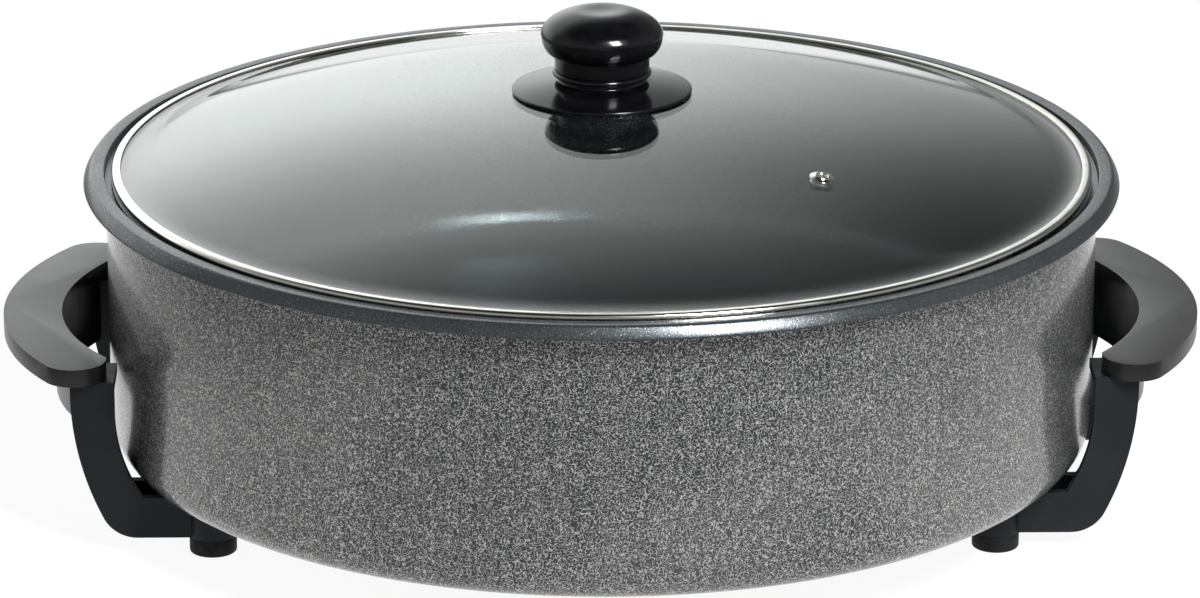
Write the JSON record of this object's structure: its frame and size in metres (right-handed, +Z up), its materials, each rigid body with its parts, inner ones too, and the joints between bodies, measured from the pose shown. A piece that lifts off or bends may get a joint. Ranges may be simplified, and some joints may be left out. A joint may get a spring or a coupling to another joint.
{
  "type": "electric skillet",
  "caption": "Round electric skillet: deep non-stick pan in a hammered shell on legs, side grips, plug-in thermostat inlet and a loose domed glass lid with knob.",
  "frame": {"origin": "on the table under the middle of the pan, at the feet's underside", "axes": "+Z up, grips along X with the inlet under the +X grip, front of the skillet towards -Y"},
  "size_m": [0.488, 0.42, 0.2051],
  "materials": {
    "non_stick_pan": "cast aluminium under a dark satin non-stick coating with fine metal sparkle",
    "hammered_shell": "charcoal hammered enamel, silky",
    "seal_rubber": "matte",
    "heater_aluminium": "mill finish",
    "element_sheath": "satin, oxidised",
    "zinc_steel": "bright zinc plate",
    "reflector_sheet": "bright rolled sheet",
    "base_sheet": "matte black heat-proof paint",
    "grip_plastic": "moulded matte grain",
    "leg_plastic": "moulded matte grain",
    "foot_rubber": "matte",
    "inlet_plastic": "moulded matte",
    "white_ceramic": "unglazed steatite, dense white",
    "brass_parts": "plain",
    "lid_glass": "clear tempered, faint green",
    "polished_steel": "polished stainless",
    "knob_plastic": "high gloss black"
  },
  "bodies": {
    "skillet": {"inner_pan": "non_stick_pan", "outer_shell": "hammered_shell", "rim_seal": "seal_rubber", "heat_spreader": "heater_aluminium", "heating_element": "element_sheath", "element_clamp": "zinc_steel", "clamp_studs": "zinc_steel", "clamp_nuts": "zinc_steel", "heat_reflector": "reflector_sheet", "mounting_ring": "zinc_steel", "tie_studs": "zinc_steel", "tie_nuts": "zinc_steel", "base_cover": "base_sheet", "base_screws": "zinc_steel", "left_handle": "grip_plastic", "right_handle": "grip_plastic", "handle_screws": "zinc_steel", "left_front_leg": "leg_plastic", "left_rear_leg": "leg_plastic", "right_front_leg": "leg_plastic", "right_rear_leg": "leg_plastic", "leg_screws": "zinc_steel", "leg_washers": "zinc_steel", "leg_nuts": "zinc_steel", "left_front_foot": "foot_rubber", "left_rear_foot": "foot_rubber", "right_front_foot": "foot_rubber", "right_rear_foot": "foot_rubber", "inlet_housing": "inlet_plastic", "inlet_pins": "element_sheath", "pin_insulators": "white_ceramic", "probe_tube": "element_sheath", "earth_contact": "brass_parts", "earth_screw": "zinc_steel", "inlet_screws": "zinc_steel"},
    "lid": {"lid_glass": "lid_glass", "lid_band": "polished_steel", "vent_grommet": "polished_steel", "knob_gasket": "seal_rubber", "knob_disc": "knob_plastic", "knob": "knob_plastic", "knob_insert": "brass_parts", "lid_seal_washer": "seal_rubber", "lid_washer": "zinc_steel", "knob_screw": "zinc_steel"}
  },
  "joints": [
    {"name": "lid_lift", "type": "slide", "parent": "skillet", "child": "lid", "axis": [0, 0, 1], "range_m": [0, 0.12]}
  ]
}
